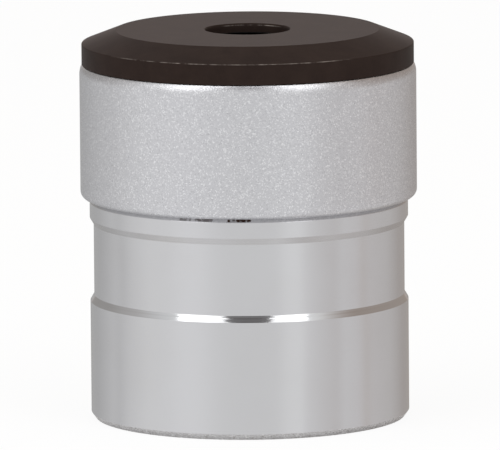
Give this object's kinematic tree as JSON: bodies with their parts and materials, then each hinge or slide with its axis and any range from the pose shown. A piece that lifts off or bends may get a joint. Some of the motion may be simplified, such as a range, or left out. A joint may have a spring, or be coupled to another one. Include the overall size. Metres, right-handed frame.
{
  "type": "telescope eyepiece",
  "caption": "Short telescope eyepiece: a turned chrome nose with a safety undercut, a satin body, a black eye cap and a cell of cemented doublets inside.",
  "frame": {"origin": "centre of the bottom face of the nose, on the optical axis", "axes": "+Z along the optical axis, from the telescope towards the eye; X and Y are free, because the outside is turned"},
  "size_m": [0.0336, 0.0336, 0.0389],
  "materials": {
    "turned_chrome": "satin",
    "satin_aluminium": "satin",
    "black_anodised": "matte",
    "blackened_aluminium": "matte",
    "crown_glass": "polished",
    "flint_glass": "polished"
  },
  "bodies": {
    "nose": {"nose_barrel": "turned_chrome"},
    "body": {"upper_body": "satin_aluminium"},
    "cap": {"eye_cap": "black_anodised"},
    "cell": {"lens_cell": "blackened_aluminium", "eye_flint_lens": "flint_glass", "eye_crown_lens": "crown_glass", "lens_spacer": "blackened_aluminium", "field_crown_lens": "crown_glass", "field_flint_lens": "flint_glass"},
    "ring": {"retaining_ring": "blackened_aluminium"},
    "stop": {"field_stop": "blackened_aluminium"}
  },
  "joints": [
    {"name": "body_unscrew", "type": "slide", "parent": "nose", "child": "body", "axis": [0, 0, 1], "range_m": [0, 0.03]},
    {"name": "cap_unscrew", "type": "slide", "parent": "body", "child": "cap", "axis": [0, 0, 1], "range_m": [0, 0.012]},
    {"name": "cell_unscrew", "type": "slide", "parent": "body", "child": "cell", "axis": [0, 0, -1], "range_m": [0, 0.015]},
    {"name": "ring_unscrew", "type": "slide", "parent": "cell", "child": "ring", "axis": [0, 0, -1], "range_m": [0, 0.0045]},
    {"name": "stop_unscrew", "type": "slide", "parent": "cell", "child": "stop", "axis": [0, 0, -1], "range_m": [0, 0.003]}
  ]
}
